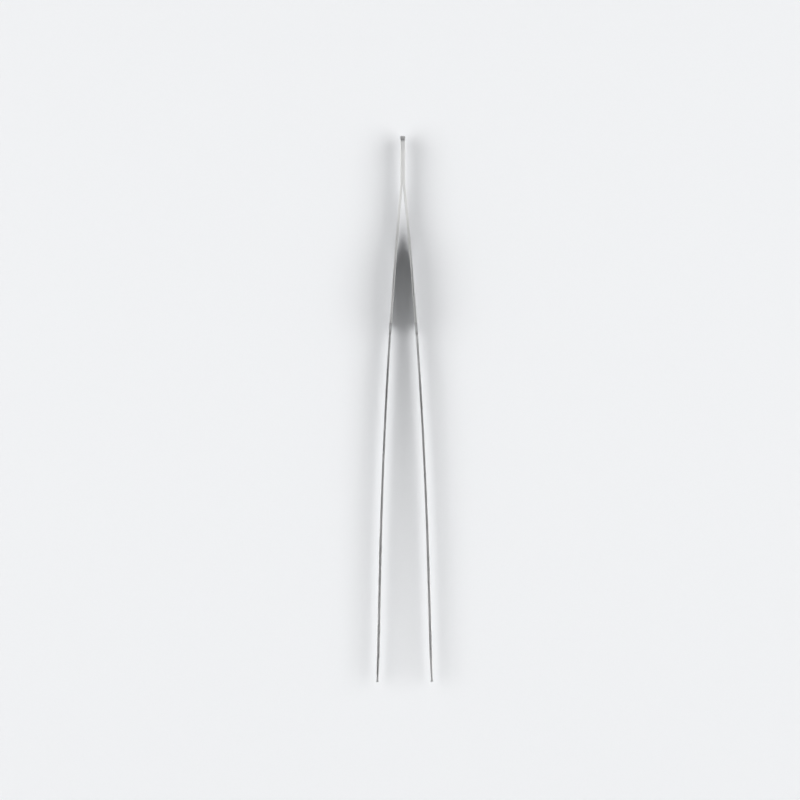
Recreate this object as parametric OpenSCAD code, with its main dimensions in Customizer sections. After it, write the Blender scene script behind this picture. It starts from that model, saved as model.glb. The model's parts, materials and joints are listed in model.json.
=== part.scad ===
// Straight fine-tip aquascaping tweezers. Two long arms of spring steel sheet
// are welded flat against each other at the tail, bow apart from there, widen
// to grooved grip plates and step down to slender shanks with serrated tips.
//
// The lower edges of the grip plates lie on the table, on z = 0. The tail end
// is at +Y and the tips are at -Y, and the arms mirror each other about x = 0.
// The origin is on the table, halfway along the tool. Stations along the tool
// are distances from the tail end, and each arm is drawn at x > 0.

/* [Overall] */
// Length from the tail end to the tips
tool_len = 255; // [245:1:265]
// Thickness of the spring steel sheet
sheet_t = 1.2; // [1.1:0.05:1.3]
// Thickness of each arm near its tip, where it is thickest
tip_t = 1.7; // [1.5:0.05:1.8]

/* [Tail] */
// Length of the flat tail, where the two arms are welded together
weld_len = 22.4; // [20:0.2:24]
// Width of the flat tail
tail_w = 7.4; // [6.8:0.1:8]
// Diameter of a spot weld
spot_d = 2.8; // [2:0.1:3.6]
// Number of spot welds along the tail
spot_count = 2; // [1:1:3]

/* [Spring neck] */
// Station where the springy neck ends and the stiff grip plate begins
neck_end = 45; // [44:0.5:46]
// Angle at which each arm leaves the tail, in degrees
splay_deg = 5.4; // [5.3:0.05:5.5]

/* [Grip] */
// Width of the grip plate
grip_w = 14.4; // [13:0.2:15]
// Station where the neck begins to widen towards the grip plate
widen_start = 38; // [36:0.5:40]
// Station where the grip plate reaches its full width
grip_start = 61.5; // [60:0.5:63]
// Station where the grip plate's shoulder begins
grip_end = 87; // [86:0.5:90]
// Distance between two grip grooves
groove_pitch = 1.8; // [1.7:0.05:1.9]
// Number of grip grooves
groove_count = 16; // [10:1:16]
// Depth of a grip groove
groove_depth = 0.3; // [0.2:0.05:0.35]

/* [Shank and tip] */
// Width of the shank just below the grip plate
shank_w = 6.1; // [5.6:0.1:6.8]
// Width of the tip
tip_w = 2; // [1.8:0.1:2.4]
// Station where the bow ends and the straight part begins
bow_end = 205; // [200:1:210]
// Angle of the straight part to the tool's axis, in degrees
tip_deg = 1.35; // [1.3:0.01:1.4]
// Length of the ground face inside each tip, which meets its twin when closed
pad_len = 13; // [12:0.5:14]
// Number of serrations inside each tip
serration_count = 12; // [10:1:13]
// Distance between two serrations
serration_pitch = 0.9; // [0.8:0.05:0.95]
// Depth of a serration
serration_depth = 0.2; // [0.15:0.01:0.25]

/* [Hidden] */

steel = "silver";
weld_steel = "dimgray";

mid_z = grip_w / 2;
bead_len = 1.2;                  // the weld bead that closes the tail end
bead_corner_r = 0.5;             // rounding of the bead's corners, seen edge-on
tail_corner_r = 2.6;             // rounding of the tail's corners, seen broadside
spot_depth = 0.75 * sheet_t;     // how far a weld nugget reaches into each sheet
mark_depth = 0.1;                // depth of an electrode mark
mark_margin = 0.6;               // how much wider than its weld the mark is
thicken_start = 150;             // the arm grows from sheet_t to tip_t from here on
shoulder_len = 6;                // the step from grip plate to shank
groove_from_shoulder = 2;        // from the last grip groove to the shoulder
tip_end_r = 0.6;                 // rounding of the tip's outer end, seen edge-on
closed_gap = 0.03;               // from a closed tip to the middle plane
bow_steps = 48;                  // straight facets along the bow
ease_steps = 8;                  // straight facets along a smooth widening
slack = 1;                       // how far cutting shapes overshoot
round_fn = 32;

// The bow is one circular arc: the arm's angle falls from splay_deg to tip_deg.
bow_r = (bow_end - weld_len) / (sin(splay_deg) - sin(tip_deg));
function bow_angle(s) = asin(sin(splay_deg) - (s - weld_len) / bow_r);
function bow_x(s) = sheet_t / 2 + bow_r * (cos(bow_angle(s)) - cos(splay_deg));

// Middle of the arm's thickness, and its thickness, at a station
function arm_x(s) = s < weld_len ? sheet_t / 2
                  : s < bow_end ? bow_x(s)
                  : bow_x(bow_end) + (s - bow_end) * tan(tip_deg);
function arm_t(s) = sheet_t + (tip_t - sheet_t) * ease((s - thicken_start) / (bow_end - thicken_start));

// Smooth step from 0 to 1
function ease(u) = u <= 0 ? 0 : u >= 1 ? 1 : (1 - cos(180 * u)) / 2;

// Stations from one value to another, in equal steps
function stations(from, to, steps) = [for (i = [0 : steps]) from + (to - from) * i / steps];

function reversed(list) = [for (i = [len(list) - 1 : -1 : 0]) list[i]];

// Where the neck bends: the middle of its length, on the middle of the sheet
pivot_s = (weld_len + neck_end) / 2;
pivot_x = arm_x(pivot_s);

// Angle that each arm turns through until the ground faces inside the tips meet
pad_s = tool_len - pad_len;
pad_from_pivot = [arm_x(pad_s) - arm_t(pad_s) / 2 - pivot_x, pad_s - pivot_s];
close_deg = atan2(pad_from_pivot.x, pad_from_pivot.y)
    + asin((pivot_x - closed_gap) / norm(pad_from_pivot));

// Moves a shape drawn over stations (x, -s) to its place along the tool
module along_tool() {
    translate([0, tool_len / 2, 0]) children();
}

// Edge-on outline of the arm between two stations, as tall as the grip plate
module edge_strip(from, to, steps) {
    rows = stations(from, to, steps);
    linear_extrude(height = grip_w)
        polygon(concat(
            [for (s = rows) [arm_x(s) + arm_t(s) / 2, -s]],
            [for (s = reversed(rows)) [arm_x(s) - arm_t(s) / 2, -s]]
        ));
}

// Half width of the arm at a station, seen broadside
function half_w(s) =
    s < grip_start
        ? (tail_w + (grip_w - tail_w) * ease((s - widen_start) / (grip_start - widen_start))) / 2
    : s < grip_end
        ? grip_w / 2
    : s < grip_end + shoulder_len
        ? (grip_w + (shank_w - grip_w) * ease((s - grip_end) / shoulder_len)) / 2
    : (shank_w + (tip_w - shank_w) * (s - grip_end - shoulder_len)
        / (tool_len - grip_end - shoulder_len)) / 2;

// Broadside outline of the whole arm, pushed through the tool along x
module broadside() {
    nose = tool_len - tip_w / 2;
    rows = concat(
        [tail_corner_r],
        stations(widen_start, grip_start, 2 * ease_steps),
        stations(grip_end, grip_end + shoulder_len, ease_steps),
        [nose]
    );
    translate([-slack, 0, mid_z])
        rotate([90, 0, 90])
            linear_extrude(height = arm_x(tool_len) + tip_t + 2 * slack) {
                polygon(concat(
                    [for (s = rows) [-s, half_w(s)]],
                    [for (s = reversed(rows)) [-s, -half_w(s)]]
                ));
                translate([-nose, 0]) circle(r = half_w(nose), $fn = round_fn);
                tail_end_outline();
            }
}

// Rounded end of the tail, seen broadside
module tail_end_outline() {
    corner_h = tail_w / 2 - tail_corner_r;
    for (side = [-1, 1])
        translate([-tail_corner_r, side * corner_h])
            circle(r = tail_corner_r, $fn = 2 * round_fn);
    translate([-tail_corner_r, -corner_h])
        square([tail_corner_r, 2 * corner_h]);
}

// One strip of the arm with its true width
module strip(from, to, steps) {
    intersection() {
        edge_strip(from, to, steps);
        broadside();
    }
}

// Turns a shape about the bend in the neck, from the closed place to the open one
module opened() {
    translate([pivot_x, -pivot_s, 0])
        rotate([0, 0, close_deg])
            translate([-pivot_x, pivot_s, 0])
                children();
}

// What is ground off inside the tip, so that the closed tips meet flat
module tip_grind() {
    depth = 4;
    opened()
        translate([closed_gap - depth, -tool_len - slack, -slack])
            cube([depth, tool_len / 3, grip_w + 2 * slack]);
}

// Serrations across the ground face inside the tip
module serrations() {
    cutter_r = 0.4;
    first = tool_len - 1.2;
    opened()
        for (i = [0 : serration_count - 1])
            translate([closed_gap + serration_depth - cutter_r, i * serration_pitch - first, 0])
                cylinder(r = cutter_r, h = grip_w, $fn = round_fn);
}

// Grooves across the outer face of the grip plate, clear of both its edges
module grip_grooves() {
    cutter_r = 0.7;
    edge_margin = 1.1;
    for (i = [0 : groove_count - 1]) {
        s = grip_end - groove_from_shoulder - i * groove_pitch;
        translate([arm_x(s) + arm_t(s) / 2 + cutter_r - groove_depth, -s, mid_z])
            cylinder(r = cutter_r, h = 2 * (half_w(s) - edge_margin), center = true, $fn = round_fn);
    }
}

// Rounds the outer corner of the tip, seen edge-on
module tip_rounding() {
    outer_x = arm_x(tool_len) + tip_t / 2;
    difference() {
        translate([outer_x - tip_end_r, -tool_len - slack, -slack])
            cube([tip_end_r + slack, tip_end_r + slack, grip_w + 2 * slack]);
        translate([outer_x - tip_end_r, tip_end_r - tool_len, -2 * slack])
            cylinder(r = tip_end_r, h = grip_w + 4 * slack, $fn = round_fn);
    }
}

// Places a shape at each spot weld, with z along the weld's axis
module at_spots() {
    for (i = [1 : spot_count])
        translate([0, -i * weld_len / (spot_count + 1), mid_z])
            rotate([0, 90, 0])
                children();
}

// Flat tail of one arm, from the end bead to the bend, with the shallow round
// marks that the welding electrode leaves in its outer face
module tail_flat() {
    difference() {
        strip(bead_len, weld_len, 1);
        at_spots()
            translate([0, 0, sheet_t - mark_depth])
                cylinder(d = spot_d + mark_margin, h = mark_depth + slack, $fn = 2 * round_fn);
    }
}

// Springy neck of one arm
module spring_neck() {
    strip(weld_len, neck_end, 8);
}

// Grip plate, shank and tip of one arm
module arm() {
    difference() {
        strip(neck_end, tool_len, bow_steps);
        grip_grooves();
        tip_grind();
        serrations();
        tip_rounding();
    }
}

module left_tail_flat() {
    color(steel) along_tool() mirror([1, 0, 0]) tail_flat();
}

module right_tail_flat() {
    color(steel) along_tool() tail_flat();
}

// Weld nuggets between the two flat tails
module spot_welds() {
    color(weld_steel) along_tool() at_spots()
        cylinder(d = spot_d, h = 2 * spot_depth, center = true, $fn = 2 * round_fn);
}

// Edge-on outline of the bead over both sheets, with two rounded corners
module bead_outline() {
    corner_x = sheet_t - bead_corner_r;
    for (side = [-1, 1])
        translate([side * corner_x, -bead_corner_r])
            circle(r = bead_corner_r, $fn = round_fn);
    translate([-corner_x, -bead_corner_r])
        square([2 * corner_x, bead_corner_r]);
    translate([-sheet_t, -bead_len])
        square([2 * sheet_t, bead_len - bead_corner_r]);
}

// Bead that closes the tail end
module end_weld() {
    color(weld_steel) along_tool()
        intersection() {
            linear_extrude(height = grip_w) bead_outline();
            translate([-2 * sheet_t, 0, 0]) broadside();
        }
}

module left_spring_neck() {
    color(steel) along_tool() mirror([1, 0, 0]) spring_neck();
}

module right_spring_neck() {
    color(steel) along_tool() spring_neck();
}

module left_arm() {
    color(steel) along_tool() mirror([1, 0, 0]) arm();
}

module right_arm() {
    color(steel) along_tool() arm();
}

left_tail_flat();
right_tail_flat();
spot_welds();
end_weld();
left_spring_neck();
right_spring_neck();
left_arm();
right_arm();
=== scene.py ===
"""Straight fine-tip aquascaping tweezers, lying on a pale card and seen from straight above.

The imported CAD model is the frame: the tail end is at +Y, the tips are at -Y and +Z is up, in
metres. Each arm is one strip of spring steel, so it is one mesh here, lofted through the CAD's
own outlines, that bends between the welded tail and the moving arm.
"""

import json
import math

import bpy
import numpy as np
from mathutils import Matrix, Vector


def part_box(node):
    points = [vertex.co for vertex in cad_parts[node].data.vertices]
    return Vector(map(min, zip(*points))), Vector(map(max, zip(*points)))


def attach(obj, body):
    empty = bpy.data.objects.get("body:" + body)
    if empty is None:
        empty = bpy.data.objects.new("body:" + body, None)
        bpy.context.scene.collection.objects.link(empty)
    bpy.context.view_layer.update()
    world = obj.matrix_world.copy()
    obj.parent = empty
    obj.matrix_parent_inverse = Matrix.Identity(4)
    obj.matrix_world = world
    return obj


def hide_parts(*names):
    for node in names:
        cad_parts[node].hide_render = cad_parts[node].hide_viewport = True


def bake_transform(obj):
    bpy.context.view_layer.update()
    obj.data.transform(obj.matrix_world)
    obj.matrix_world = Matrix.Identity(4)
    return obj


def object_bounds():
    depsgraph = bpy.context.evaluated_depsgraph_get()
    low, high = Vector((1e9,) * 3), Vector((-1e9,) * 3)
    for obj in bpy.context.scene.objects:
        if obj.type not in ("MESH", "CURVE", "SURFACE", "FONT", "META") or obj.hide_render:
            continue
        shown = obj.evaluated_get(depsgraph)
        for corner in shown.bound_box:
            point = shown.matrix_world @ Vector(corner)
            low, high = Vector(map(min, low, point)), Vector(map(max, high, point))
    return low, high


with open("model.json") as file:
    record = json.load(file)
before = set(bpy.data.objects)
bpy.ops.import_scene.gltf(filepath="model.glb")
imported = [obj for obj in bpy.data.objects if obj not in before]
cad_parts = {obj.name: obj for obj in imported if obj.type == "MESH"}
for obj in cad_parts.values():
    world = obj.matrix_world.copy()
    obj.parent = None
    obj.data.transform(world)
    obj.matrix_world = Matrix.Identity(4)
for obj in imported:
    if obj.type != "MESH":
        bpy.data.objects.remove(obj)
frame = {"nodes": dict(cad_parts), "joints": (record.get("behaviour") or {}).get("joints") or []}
cad_low, cad_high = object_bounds()

MM = 0.001
TAIL_Y = cad_high.y
TIP_Y = cad_low.y
LENGTH = TAIL_Y - TIP_Y
MID_Z = (cad_low.z + cad_high.z) / 2
SHEET_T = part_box("right_tail_flat")[1].x

# Stations are distances from the tail end, in metres.
WELD_END = TAIL_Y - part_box("right_tail_flat")[0].y
NECK_END = TAIL_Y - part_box("right_spring_neck")[0].y

# Details of the arms
EDGE_R = 0.1 * MM            # rounding of the sheet's edges
TAIL_EDGE_R = 0.3 * MM       # the tail's outer edges are rounder, and sharpen past the weld
TAIL_EDGE_FADE = 15 * MM
SEAM_EDGE_R = 0.06 * MM      # the welded tail's inner edges, which are ground flush
SEAM_LEAD = 1 * MM           # they start to get rounder this far before the weld ends
SEAM_FADE = 4 * MM
TIP_EDGE_R = 0.25 * MM       # the shank is rounder towards the tip
ROUNDER_FROM = 150 * MM
ROUNDER_TO = 205 * MM
EDGE_R_LIMIT = 0.92          # largest rounding, as a share of half the thickness or width
GROOVE_COUNT = 16
GROOVE_PITCH = 1.8 * MM
GROOVE_LAST = 85 * MM        # station of the groove nearest to the shoulder
GROOVE_FIRST = GROOVE_LAST - (GROOVE_COUNT - 1) * GROOVE_PITCH
GROOVE_R = 0.7 * MM
GROOVE_DEPTH = 0.3 * MM
GROOVE_MARGIN = 1.1 * MM     # clear strip between a groove's end and the plate's edge
GROOVE_FADE = 0.6 * MM
PAD_LEN = 13 * MM            # ground face inside the tip
PAD_GAP = 0.03 * MM          # from a closed tip to the middle plane
SERRATION_COUNT = 12
SERRATION_PITCH = 0.9 * MM
SERRATION_FIRST = 1.2 * MM   # from the very tip to the first one
SERRATION_R = 0.4 * MM
SERRATION_DEPTH = 0.2 * MM
MARK_DEPTH = 0.1 * MM        # electrode marks over the spot welds
MARK_MARGIN = 0.3 * MM
MARK_FADE = 0.35 * MM
MARK_RIM_OUT = 0.1 * MM      # from a mark's edge to the middle of its raised rim
MARK_RIM_W = 0.22 * MM
MARK_RIM_SHARE = 0.12        # height of the rim, as a share of the mark's depth
TIP_END_R = 0.6 * MM         # outer corner of the tip's end, seen edge-on
TIP_END_INNER = 0.3          # depth of the inner corner, as a share of the outer one's
TAIL_CORNER_R = 2.6 * MM     # the tail's rounded end, seen broadside
BEAD_CORNER_R = 0.5 * MM     # the weld bead, seen edge-on
BEAD_CORNER_MIN = 0.05 * MM
BEAD_OVERLAP = 0.5 * MM
BEAD_BACK = 0.8              # width of the part inside the tail, as a share of the bead's
RIPPLE_DEPTH = 0.06 * MM
RIPPLE_PITCH = 0.8 * MM
# How coarsely the edges are ground, and how strongly a painted highlight lightens them, from 0
# to 1, from the tail end to the start of the grip plate, at stations in mm
GROUND_AND_PAINTED_SHEEN = ((2.2, 0), (3.2, 0.5), (6, 0.5), (8, 1), (35, 1), (43, 0.5), (50, 0.5), (62, 0))

# Mesh density
FACE_STEPS = 40              # across the broad outer face
INNER_STEPS = 14             # across the inner face
EDGE_STEPS = 3               # across each narrow edge
CORNER_STEPS = 5             # around each rounded corner
NOSE_ROWS = 14               # along the tip's rounded end
BEAD_ROWS = 96               # along the weld bead

# Smoothing of the CAD's outlines, in samples of OUTLINE_STEP
OUTLINE_STEP = 0.25 * MM
FACE_SMOOTHING = 24
WIDTH_SMOOTHING = 6

# Materials, with linear colours
STEEL = (0.6, 0.605, 0.61)
STEEL_WORN = (0.76, 0.76, 0.76)
# painted highlight: a lighter colour for the ground edges near the tail, standing in for light they
# catch
STEEL_GROUND_SHEEN = (0.7, 0.7, 0.695)
STEEL_ROUGHNESS = 0.3
WELD_DARK = (0.44, 0.44, 0.44)
WELD_LIGHT = (0.56, 0.555, 0.545)
CARD_DARK = (0.845, 0.855, 0.87)
CARD_LIGHT = (0.86, 0.87, 0.885)

# Studio, in metres, degrees and watts
FLOOR_HALF = 1.5
FLOOR_DROP = 0.2 * MM        # below the tool's lowest edge
SIDE_LIGHTS = ((28, 6.4), (45, 23.2), (62, 7.6))    # angle above the table, and power of each
LIGHT_DISTANCE = 2.26
LIGHT_Y = 0.04
SOFTBOX_SIZE = (2.4, 1.6)
SKY_STRENGTH = 0.44
SKY_FADE = (0.62, 0.75)      # the sky gets dark between these heights, 1 being overhead
CAMERA_DISTANCE = 1.5
CAMERA_FIELD = 1.465 * LENGTH                       # how much of the card the picture spans
CAMERA_SHIFT = (-0.0066 * LENGTH, 0.0168 * LENGTH)  # from above the tool's middle
CAMERA_TURN = -0.2
SENSOR_W = 36                # mm


def ease(u):
    """Smooth step from 0 to 1."""
    return (1 - np.cos(np.pi * np.clip(u, 0, 1))) / 2


def rounded_off(distance, radius):
    """How far a quarter circle has fallen away, this distance past its start."""
    past = np.clip(distance / radius, 0, 1)
    return radius * (1 - np.sqrt(1 - past ** 2))


# ---------------------------------------------------------------- outlines from the frame

def slice_node(node, stations):
    """The lowest and highest x and z of a CAD node at each station."""
    mesh = frame["nodes"][node].data
    points = np.array([v.co for v in mesh.vertices], float)
    ends = np.array([e.vertices for e in mesh.edges], int)
    first, second = points[ends[:, 0]], points[ends[:, 1]]
    found = []
    for station in stations:
        y = TAIL_Y - station
        crossing = (first[:, 1] > y) != (second[:, 1] > y)
        a, b = first[crossing], second[crossing]
        share = ((y - a[:, 1]) / (b[:, 1] - a[:, 1]))[:, None]
        cut = a + (b - a) * share
        found.append((cut[:, 0].min(), cut[:, 0].max(), cut[:, 2].min(), cut[:, 2].max()))
    return np.array(found)


def smooth(values, samples):
    """Moving average with a round window. The ends carry on in a straight line."""
    half = samples // 2
    before = values[0] + (values[0] - values[1]) * np.arange(half, 0, -1)
    after = values[-1] + (values[-1] - values[-2]) * np.arange(1, half + 1)
    window = np.hanning(2 * half + 3)[1:-1]
    return np.convolve(np.concatenate([before, values, after]), window / window.sum(), "valid")


def arm_outline():
    """Stations with the outer face's x, the sheet's thickness and the half width of the arm."""
    clear = 0.02 * MM
    tip_clear = 1.2 * MM
    pad_clear = 0.5 * MM
    tail_start = TAIL_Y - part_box("right_tail_flat")[1].y
    spans = [
        ("right_tail_flat", tail_start + clear, WELD_END - clear),
        ("right_spring_neck", WELD_END + clear, NECK_END - clear),
        ("right_arm", NECK_END + clear, LENGTH - tip_clear),
    ]
    stations, cuts = [], []
    for node, start, end in spans:
        own = np.linspace(start, end, int((end - start) / OUTLINE_STEP) + 1)
        stations.append(own)
        cuts.append(slice_node(node, own))
    stations, cuts = np.concatenate(stations), np.concatenate(cuts)
    even = np.arange(stations[0], stations[-1], OUTLINE_STEP)
    outer = np.interp(even, stations, cuts[:, 1])
    inner = np.interp(even, stations, cuts[:, 0])
    half_w = np.interp(even, stations, (cuts[:, 3] - cuts[:, 2]) / 2)
    unground = even < LENGTH - PAD_LEN - pad_clear
    thickness = np.where(unground, outer - inner, (outer - inner)[unground][-1])
    return (even, smooth(outer, FACE_SMOOTHING), smooth(thickness, FACE_SMOOTHING),
            smooth(half_w, WIDTH_SMOOTHING))


STATIONS, OUTER, THICKNESS, HALF_W = arm_outline()
SHOULDER = STATIONS[HALF_W > 0.99 * HALF_W.max()][-1]


def at(table, s):
    """A value of an outline table at station s, in a straight line past its last station."""
    slope = (table[-1] - table[-9]) / (STATIONS[-1] - STATIONS[-9])
    return np.interp(s, STATIONS, table) + slope * np.maximum(s - STATIONS[-1], 0)


def closing_plane(s):
    """x of the plane inside the open tip that stops PAD_GAP from the middle plane when the arms
    close."""
    joint = next(j for j in frame["joints"] if j["child"] == "right_arm")
    turn = math.radians(max(joint["range_deg"]))
    pivot_x = joint["pos_m"][0]
    pivot_s = TAIL_Y - joint["pos_m"][1]
    return pivot_x + (PAD_GAP - pivot_x) / math.cos(turn) + (s - pivot_s) * math.tan(turn)


# ---------------------------------------------------------------- the arms

def arm_rows():
    """Stations of the arm's cross-sections, dense where there is detail. Each span has its
    start, its end and its spacing."""
    nose = LENGTH - at(HALF_W, LENGTH)
    grooves_start = GROOVE_FIRST - GROOVE_PITCH
    grooves_end = GROOVE_LAST + GROOVE_PITCH / 2
    pad_start = LENGTH - PAD_LEN - 1 * MM
    tail_start = STATIONS[0]
    spans = [
        (tail_start, WELD_END - 2 * MM, 0.25 * MM),
        (WELD_END - 2 * MM, grooves_start, 0.5 * MM),
        (grooves_start, grooves_end, 0.12 * MM),
        (grooves_end, SHOULDER + 10 * MM, 0.3 * MM),
        (SHOULDER + 10 * MM, pad_start, 1.2 * MM),
        (pad_start, nose, 0.075 * MM),
    ]
    rows = [np.linspace(a, b, int((b - a) / step) + 1, endpoint=False) for a, b, step in spans]
    turn = np.radians(np.linspace(0, 86, NOSE_ROWS))
    return np.concatenate(rows + [nose + (LENGTH - nose) * np.sin(turn)])


def section_ring():
    """Unit cross-section, outer face first: where a point lies on the core rectangle in x and
    in z, from -1 to 1, and the direction of its rounding, in radians."""
    ring = []
    for q in np.linspace(-1, 1, FACE_STEPS + 1):
        ring.append((1, q, 0))
    for turn in np.linspace(0, 90, CORNER_STEPS + 1)[1:]:
        ring.append((1, 1, turn))
    for q in np.linspace(1, -1, EDGE_STEPS + 1)[1:]:
        ring.append((q, 1, 90))
    for turn in np.linspace(90, 180, CORNER_STEPS + 1)[1:]:
        ring.append((-1, 1, turn))
    for q in np.linspace(1, -1, INNER_STEPS + 1)[1:]:
        ring.append((-1, q, 180))
    for turn in np.linspace(180, 270, CORNER_STEPS + 1)[1:]:
        ring.append((-1, -1, turn))
    for q in np.linspace(-1, 1, EDGE_STEPS + 1)[1:]:
        ring.append((q, -1, 270))
    for turn in np.linspace(270, 360, CORNER_STEPS + 1)[1:-1]:
        ring.append((1, -1, turn))
    ring = np.array(ring, float)
    return ring[:, 0], ring[:, 1], np.radians(ring[:, 2])


def dents(s, first, pitch, count, radius, depth):
    """Depth below the surface of an even row of round-bottomed grooves."""
    nearest = np.clip(np.round((s - first) / pitch), 0, count - 1)
    distance = s - first - nearest * pitch
    bottom = np.sqrt(np.maximum(radius ** 2 - distance ** 2, 0))
    return np.maximum(bottom - radius + depth, 0)


def grip_grooves(s, v, half_w):
    """Depth of the grooves pressed across the outer face of the grip plate."""
    inside = ease((half_w - GROOVE_MARGIN - np.abs(v)) / GROOVE_FADE + 1)
    return inside * dents(s, GROOVE_FIRST, GROOVE_PITCH, GROOVE_COUNT, GROOVE_R, GROOVE_DEPTH)


def serrations(s):
    """Depth of the serrations across the ground face inside the tip."""
    first = LENGTH - SERRATION_FIRST - (SERRATION_COUNT - 1) * SERRATION_PITCH
    return dents(s, first, SERRATION_PITCH, SERRATION_COUNT, SERRATION_R, SERRATION_DEPTH)


def electrode_marks(s, v):
    """Depth of the round marks that spot welding leaves in the outer face of the tail."""
    low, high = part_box("spot_welds")
    weld_r = (high.z - low.z) / 2
    mark_r = weld_r + MARK_MARGIN
    depth = np.zeros(np.broadcast(s, v).shape)
    for centre in (TAIL_Y - high.y + weld_r, TAIL_Y - low.y - weld_r):
        distance = np.hypot(s - centre, v)
        depth += MARK_DEPTH * ease((mark_r - distance) / MARK_FADE)
        rim = np.exp(-((distance - mark_r - MARK_RIM_OUT) / MARK_RIM_W) ** 2)
        depth -= MARK_RIM_SHARE * MARK_DEPTH * rim
    return depth


def edge_rounding(s, core_x):
    """Radius of the strip's edges. The outer ones are rounder on the tail, all of them are
    rounder towards the tip, and the inner ones are sharp where the two tails meet."""
    to_tip = ease((s - ROUNDER_FROM) / (ROUNDER_TO - ROUNDER_FROM))
    to_tail = 1 - ease((s - WELD_END) / TAIL_EDGE_FADE)
    outer_r = EDGE_R + (TIP_EDGE_R - EDGE_R) * to_tip + (TAIL_EDGE_R - EDGE_R) * to_tail
    apart = ease((s - WELD_END + SEAM_LEAD) / SEAM_FADE)
    inner_r = SEAM_EDGE_R + (outer_r - SEAM_EDGE_R) * apart
    return inner_r + (outer_r - inner_r) * (1 + core_x) / 2


def arm_finish(s, v, turn, half_w, grooves):
    """How worn each point of an arm is, how dull it is with painted shade on the inner faces and in
    the grooves, and how coarsely ground its edges are with a painted highlight on them, from 0 to
    1.
    """
    faces_out = np.maximum(np.cos(turn), 0)
    faces_in = np.maximum(-np.cos(turn), 0)
    groove = grooves / GROOVE_DEPTH
    edges = np.abs(np.sin(turn)) ** 4
    corners = np.abs(np.sin(2 * turn))
    held = ease((s - GROOVE_FIRST) / GROOVE_PITCH + 0.5)
    held = held * ease((GROOVE_LAST - s) / GROOVE_PITCH + 0.5)
    held = held * ease((half_w - np.abs(v)) / (2 * MM))
    ridges = faces_out * held * (1 - 2 * groove)
    polished = ease((s - ROUNDER_FROM) / (LENGTH - ROUNDER_FROM))
    worn = np.clip(corners + 0.35 * edges + 0.6 * polished + 0.6 * ridges, 0, 1)
    # painted shade: the inner faces and the grooves are darkened in colour, besides being rougher
    dull_and_shaded = np.maximum(0.55 * faces_in, 0.8 * faces_out * groove)
    # ground edges: rougher and less metallic, and lighter in colour as a painted highlight
    ground = edges * np.interp(s / MM, *zip(*GROUND_AND_PAINTED_SHEEN))
    return {"worn": worn, "dull_and_shaded": dull_and_shaded, "ground": ground}


def arm_points(side):
    """Points of one arm as rows of rings, and their finish."""
    s = arm_rows()[:, None]
    core_x, core_z, turn = section_ring()
    nose_r = at(HALF_W, LENGTH)
    past_nose = np.clip((s - LENGTH + nose_r) / nose_r, 0, 1)
    half_w = at(HALF_W, s) * np.sqrt(1 - past_nose ** 2)
    end_loss = rounded_off(s - LENGTH + TIP_END_R, TIP_END_R)
    outer = at(OUTER, s) - end_loss
    inner = np.maximum(at(OUTER, s) - at(THICKNESS, s), closing_plane(s)) + TIP_END_INNER * end_loss
    half_t = (outer - inner) / 2
    edge_r = np.minimum(edge_rounding(s, core_x), EDGE_R_LIMIT * np.minimum(half_t, half_w))
    x = core_x * (half_t - edge_r) + edge_r * np.cos(turn)
    v = core_z * (half_w - edge_r) + edge_r * np.sin(turn)
    grooves = grip_grooves(s, v, half_w)
    x = x - np.maximum(np.cos(turn), 0) * (grooves + electrode_marks(s, v))
    x = x + np.maximum(-np.cos(turn), 0) * serrations(s)
    points = np.empty(x.shape + (3,))
    points[..., 0] = side * ((outer + inner) / 2 + x)
    points[..., 1] = TAIL_Y - s
    points[..., 2] = MID_Z + v
    return points, arm_finish(s, v, turn, half_w, grooves)


def loft(name, points, flip, finish=None):
    """A closed mesh through rows of rings, with a flat face on each end. finish maps the names
    of point attributes to their values."""
    rows, around = points.shape[:2]
    quads = []
    for row in range(rows - 1):
        a, b = row * around, (row + 1) * around
        for i in range(around):
            j = (i + 1) % around
            quads.append((a + i, a + j, b + j, b + i))
    quads.append(tuple(range(around))[::-1])
    quads.append(tuple(range((rows - 1) * around, rows * around)))
    if flip:
        quads = [face[::-1] for face in quads]
    mesh = bpy.data.meshes.new(name)
    mesh.from_pydata(points.reshape(-1, 3).tolist(), [], quads)
    mesh.update()
    mesh.shade_smooth()
    for label, values in (finish or {}).items():
        values = np.broadcast_to(values, (rows, around)).reshape(-1).astype(np.float32)
        mesh.attributes.new(label, "FLOAT", "POINT").data.foreach_set("value", values)
    piece = bpy.data.objects.new(name, mesh)
    bpy.context.scene.collection.objects.link(piece)
    return piece


def spring_arm(name, side, body, material):
    """One strip of spring steel, from the welded tail to the tip."""
    points, finish = arm_points(side)
    arm = loft(name, points, side > 0, finish)
    arm.data.materials.append(material)
    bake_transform(arm)
    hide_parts(body.replace("arm", "tail_flat"), body.replace("arm", "spring_neck"), body)


# ---------------------------------------------------------------- the weld bead at the tail end

def bead_section(half_t, end_s, back_s, corner_r):
    """x and s along the bead's cut-through, from one side over the end to the other side."""
    turn = np.radians(np.linspace(0, 90, 9))
    across = np.linspace(1, -1, 15)[1:-1]
    corner_x, corner_s = half_t - corner_r, end_s + corner_r
    x = np.concatenate([[half_t], corner_x + corner_r * np.cos(turn), corner_x * across,
                        -corner_x - corner_r * np.sin(turn), [-half_t]])
    s = np.concatenate([[back_s], corner_s - corner_r * np.sin(turn), np.full(len(across), end_s),
                        corner_s - corner_r * np.cos(turn), [back_s]])
    return x, s


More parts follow.
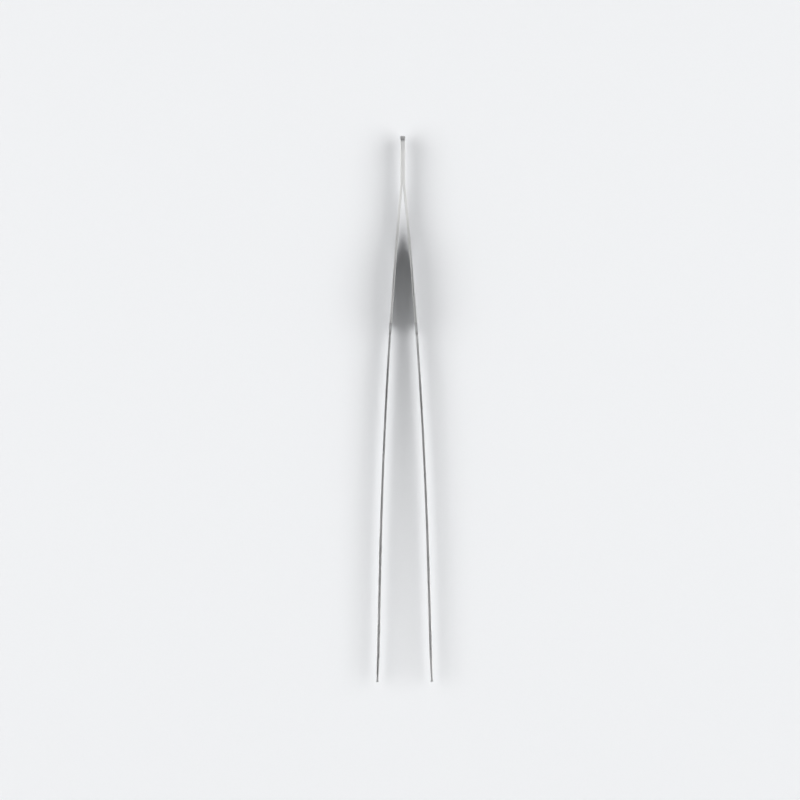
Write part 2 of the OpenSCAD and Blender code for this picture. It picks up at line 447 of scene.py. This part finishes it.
def tail_bead(name, material):
    """Bead of weld metal that closes the tail end, with rounded corners and faint ripples."""
    low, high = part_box("end_weld")
    half_len = (high.z - low.z) / 2
    depth = high.y - low.y
    tail_half_w = at(HALF_W, WELD_END / 2)
    points = []
    for v in half_len * np.sin(np.linspace(-0.5, 0.5, BEAD_ROWS) * np.pi):
        end_s = rounded_off(abs(v) - tail_half_w + TAIL_CORNER_R, TAIL_CORNER_R)
        end_s += RIPPLE_DEPTH / 2 * (1 - math.cos(2 * math.pi * v / RIPPLE_PITCH))
        corner_r = min(BEAD_CORNER_R, max(depth - end_s, BEAD_CORNER_MIN))
        half_t = SHEET_T - rounded_off(abs(v) - half_len + TAIL_EDGE_R, TAIL_EDGE_R)
        x, s = bead_section(half_t, end_s, depth, corner_r)
        x = np.append(x, [-BEAD_BACK * half_t, BEAD_BACK * half_t])
        s = np.append(np.minimum(s, depth), [depth + BEAD_OVERLAP] * 2)
        points.append(np.stack([x, TAIL_Y - s, np.full(len(x), MID_Z + v)], axis=-1))
    bead = loft(name, np.array(points), True)
    bead.data.materials.append(material)
    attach(bead, "tail")
    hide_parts("end_weld")


# ---------------------------------------------------------------- materials

def new_material(name):
    """A node material, with its nodes and links."""
    material = bpy.data.materials.new(name)
    material.use_nodes = True
    return material, material.node_tree.nodes, material.node_tree.links


def noise(nodes, links, scale, stretch=1, detail=3.0, tilt=0):
    """Noise in the object's own space. Scale is features per metre, divided along the tool by
    stretch. Tilt, in degrees, turns it about the x axis."""
    coordinates = nodes.new("ShaderNodeTexCoord")
    mapping = nodes.new("ShaderNodeMapping")
    mapping.inputs["Scale"].default_value = (scale, scale / stretch, scale)
    mapping.inputs["Rotation"].default_value = (math.radians(tilt), 0, 0)
    texture = nodes.new("ShaderNodeTexNoise")
    texture.inputs["Scale"].default_value = 1.0
    texture.inputs["Detail"].default_value = detail
    links.new(coordinates.outputs["Object"], mapping.inputs["Vector"])
    links.new(mapping.outputs["Vector"], texture.inputs["Vector"])
    return texture.outputs["Fac"]


def span(nodes, links, value, low, high, to_low=0.0, to_high=1.0):
    """Maps a value's range onto another one, clamped."""
    node = nodes.new("ShaderNodeMapRange")
    node.inputs["From Min"].default_value = low
    node.inputs["From Max"].default_value = high
    node.inputs["To Min"].default_value = to_low
    node.inputs["To Max"].default_value = to_high
    links.new(value, node.inputs["Value"])
    return node.outputs["Result"]


def arithmetic(nodes, links, operation, a, b):
    """The result of a Math node, whose inputs are numbers or sockets."""
    node = nodes.new("ShaderNodeMath")
    node.operation = operation
    for value, socket in zip((a, b), node.inputs):
        if isinstance(value, (int, float)):
            socket.default_value = value
        else:
            links.new(value, socket)
    return node.outputs["Value"]


def blend_colors(nodes, links, factor, a, b):
    """From colour a to colour b as the factor goes from 0 to 1."""
    node = nodes.new("ShaderNodeMix")
    node.data_type = "RGBA"
    links.new(factor, node.inputs["Factor"])
    for value, socket in ((a, node.inputs["A"]), (b, node.inputs["B"])):
        if isinstance(value, tuple):
            socket.default_value = (*value, 1)
        else:
            links.new(value, socket)
    return node.outputs["Result"]


def attribute(nodes, name):
    """One of the point attributes of an arm."""
    node = nodes.new("ShaderNodeAttribute")
    node.attribute_name = name
    return node.outputs["Fac"]


def satin_steel(name):
    """Stainless steel, brushed along the tool, with worn edges, smudges and fine scratches. The
    inner faces and the grooves are duller, and darker with painted shade. The edges are coarsely
    ground from the tail to the grip plate, and lighter there with a painted highlight."""
    material, nodes, links = new_material(name)
    shader = nodes["Principled BSDF"]

    def math_node(operation, a, b):
        return arithmetic(nodes, links, operation, a, b)

    fine = noise(nodes, links, 9000, stretch=110)
    grain = noise(nodes, links, 3200, stretch=60)
    smudge = noise(nodes, links, 90, stretch=3)
    scratches = noise(nodes, links, 2600, stretch=50, detail=1, tilt=4)
    scratch = span(nodes, links, scratches, 0.67, 0.71)
    grit = noise(nodes, links, 3500)
    rubbed = span(nodes, links, smudge, 0.3, 0.6, 0.55, 1.0)
    worn = math_node("MULTIPLY", attribute(nodes, "worn"), rubbed)
    uneven = span(nodes, links, grit, 0.35, 0.65, 0.8, 1.0)
    ground = math_node("MULTIPLY", attribute(nodes, "ground"), uneven)
    dull_and_shaded = attribute(nodes, "dull_and_shaded")

    color = blend_colors(nodes, links, span(nodes, links, grain, 0.3, 0.7),
                         tuple(0.86 * c for c in STEEL), tuple(1.05 * c for c in STEEL))
    color = blend_colors(nodes, links, math_node("MULTIPLY", scratch, 0.35), color, STEEL_WORN)
    # painted shade on the inner faces and in the grooves, darker than the rest of the steel
    color = blend_colors(nodes, links, dull_and_shaded, color, tuple(0.55 * c for c in STEEL))
    color = blend_colors(nodes, links, worn, color, STEEL_WORN)
    # painted highlight on the ground edges of the tail and neck, together with their ground finish
    color = blend_colors(nodes, links, ground, color, STEEL_GROUND_SHEEN)
    links.new(color, shader.inputs["Base Color"])
    links.new(span(nodes, links, ground, 0, 1, 1.0, 0.65), shader.inputs["Metallic"])

    satin = span(nodes, links, fine, 0.3, 0.7, STEEL_ROUGHNESS - 0.07, STEEL_ROUGHNESS + 0.09)
    satin = math_node("ADD", satin, span(nodes, links, smudge, 0.35, 0.75, -0.03, 0.07))
    satin = math_node("ADD", satin, math_node("MULTIPLY", dull_and_shaded, 0.12))
    satin = math_node("ADD", satin, math_node("MULTIPLY", ground, 0.3))
    links.new(satin, shader.inputs["Roughness"])
    shader.inputs["Anisotropic"].default_value = 0.35

    bump = nodes.new("ShaderNodeBump")
    bump.inputs["Distance"].default_value = 0.015 * MM
    bump.inputs["Strength"].default_value = 0.7
    height = math_node("ADD", fine, grain)
    height = math_node("SUBTRACT", height, math_node("MULTIPLY", scratch, 0.8))
    links.new(height, bump.inputs["Height"])
    links.new(bump.outputs["Normal"], shader.inputs["Normal"])
    return material


def weld_metal(name):
    """Ground weld metal: darker, rougher and faintly straw-coloured by heat."""
    material, nodes, links = new_material(name)
    shader = nodes["Principled BSDF"]
    mottle = noise(nodes, links, 900, detail=4)
    grit = noise(nodes, links, 9000)
    mottled = span(nodes, links, mottle, 0.35, 0.65)
    color = blend_colors(nodes, links, mottled, WELD_DARK, WELD_LIGHT)
    links.new(color, shader.inputs["Base Color"])
    shader.inputs["Metallic"].default_value = 1.0
    links.new(span(nodes, links, grit, 0.3, 0.7, 0.34, 0.55), shader.inputs["Roughness"])
    bump = nodes.new("ShaderNodeBump")
    bump.inputs["Distance"].default_value = 0.03 * MM
    bump.inputs["Strength"].default_value = 0.6
    links.new(arithmetic(nodes, links, "ADD", grit, mottle), bump.inputs["Height"])
    links.new(bump.outputs["Normal"], shader.inputs["Normal"])
    return material


def pale_card(name):
    """Plain pale card with a very faint paper tooth."""
    material, nodes, links = new_material(name)
    shader = nodes["Principled BSDF"]
    tooth = noise(nodes, links, 2500)
    color = blend_colors(nodes, links, span(nodes, links, tooth, 0.3, 0.7), CARD_DARK, CARD_LIGHT)
    links.new(color, shader.inputs["Base Color"])
    shader.inputs["Roughness"].default_value = 0.85
    shader.inputs["Specular IOR Level"].default_value = 0.05
    bump = nodes.new("ShaderNodeBump")
    bump.inputs["Distance"].default_value = 0.02 * MM
    bump.inputs["Strength"].default_value = 0.15
    links.new(tooth, bump.inputs["Height"])
    links.new(bump.outputs["Normal"], shader.inputs["Normal"])
    return material


# ---------------------------------------------------------------- stage, light and camera

def floor(material):
    """The card that the tool lies on."""
    mesh = bpy.data.meshes.new("floor")
    z = cad_low.z - FLOOR_DROP
    corners = [(FLOOR_HALF * i, FLOOR_HALF * j, z) for i, j in ((-1, -1), (1, -1), (1, 1), (-1, 1))]
    mesh.from_pydata(corners, [], [(0, 1, 2, 3)])
    mesh.materials.append(material)
    piece = bpy.data.objects.new("floor", mesh)
    bpy.context.scene.collection.objects.link(piece)


def softbox(name, location, energy):
    """A rectangular light that faces the middle of the frame."""
    light = bpy.data.lights.new(name, "AREA")
    light.shape = "RECTANGLE"
    light.size, light.size_y = SOFTBOX_SIZE
    light.energy = energy
    lamp = bpy.data.objects.new(name, light)
    lamp.location = location
    lamp.rotation_euler = (-Vector(location)).to_track_quat("-Z", "Y").to_euler()
    bpy.context.scene.collection.objects.link(lamp)


def studio():
    """Softboxes on both sides of the tool, and a sky that is dark overhead, so that the gap
    between the tall grip plates and the arms' upper edges stay dark."""
    for height, energy in SIDE_LIGHTS:
        out = LIGHT_DISTANCE * math.cos(math.radians(height))
        up = LIGHT_DISTANCE * math.sin(math.radians(height))
        softbox("softbox_left_%d" % height, (-out, LIGHT_Y, up), energy)
        softbox("softbox_right_%d" % height, (out, LIGHT_Y, up), energy)
    world = bpy.data.worlds.new("studio")
    bpy.context.scene.world = world
    world.use_nodes = True
    nodes, links = world.node_tree.nodes, world.node_tree.links
    coordinates = nodes.new("ShaderNodeTexCoord")
    split = nodes.new("ShaderNodeSeparateXYZ")
    links.new(coordinates.outputs["Generated"], split.inputs["Vector"])
    strength = span(nodes, links, split.outputs["Z"], *SKY_FADE, SKY_STRENGTH, 0.0)
    nodes["Background"].inputs["Color"].default_value = (1, 1, 1, 1)
    links.new(strength, nodes["Background"].inputs["Strength"])


def camera():
    """Straight above the tool, with the tail at the top of the picture."""
    data = bpy.data.cameras.new("camera")
    data.sensor_width = SENSOR_W
    data.lens = SENSOR_W * CAMERA_DISTANCE / CAMERA_FIELD
    view = bpy.data.objects.new("camera", data)
    view.location = ((cad_low.x + cad_high.x) / 2 + CAMERA_SHIFT[0],
                     (TAIL_Y + TIP_Y) / 2 + CAMERA_SHIFT[1],
                     MID_Z + CAMERA_DISTANCE)
    view.rotation_euler = (0, 0, math.radians(CAMERA_TURN))
    bpy.context.scene.collection.objects.link(view)
    bpy.context.scene.camera = view
    bpy.context.scene.view_settings.view_transform = "Standard"


# ---------------------------------------------------------------- the scene

steel = satin_steel("satin_steel")
weld = weld_metal("weld_metal")

spring_arm("left_spring_arm", -1, "left_arm", steel)
spring_arm("right_spring_arm", 1, "right_arm", steel)
tail_bead("tail_end_bead", weld)
frame["nodes"]["spot_welds"].data.materials.clear()
frame["nodes"]["spot_welds"].data.materials.append(weld)

floor(pale_card("pale_card"))
studio()
camera()
